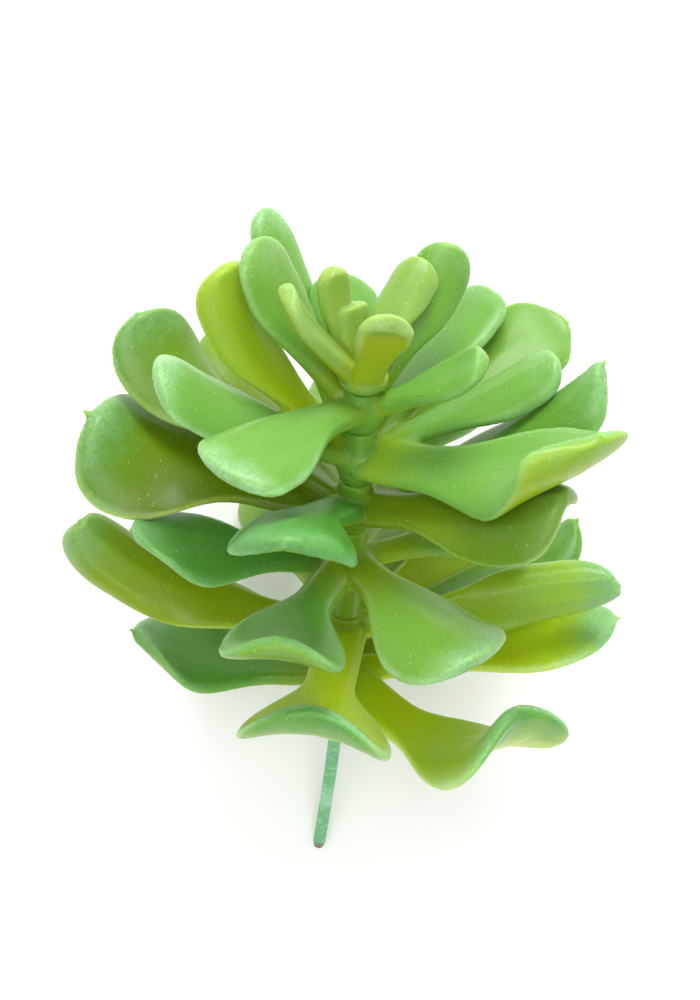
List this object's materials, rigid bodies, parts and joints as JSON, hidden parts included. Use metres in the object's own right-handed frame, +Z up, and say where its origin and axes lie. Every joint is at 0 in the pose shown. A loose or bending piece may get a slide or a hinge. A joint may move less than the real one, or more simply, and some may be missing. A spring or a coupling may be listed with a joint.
{
  "type": "artificial succulent stem",
  "caption": "Moulded plastic echeveria-like succulent stem: tiers of thick spoon-shaped leaves and a bud crown stacked on a thin pick, lying on its back.",
  "frame": {"origin": "on the surface it lies on, under the middle of its bounding box", "axes": "+Z up from the surface; the pick's tip points towards -Y and down, the crown towards +Y and up; +X is the plant's right seen from in front of the crown's open side"},
  "size_m": [0.1064, 0.125, 0.1066],
  "materials": {
    "leaf_plastic": "soft satin, slightly translucent, dusted blue-green at the margins",
    "crown_plastic": "soft satin, slightly translucent",
    "pick_plastic": "satin, with a brown cut end"
  },
  "bodies": {
    "root": {"pick_stem": "pick_plastic", "crown": "crown_plastic", "tier_1": "leaf_plastic", "tier_2": "leaf_plastic", "tier_3": "leaf_plastic", "tier_4": "leaf_plastic", "tier_5": "leaf_plastic", "tier_6": "leaf_plastic"}
  },
  "joints": []
}
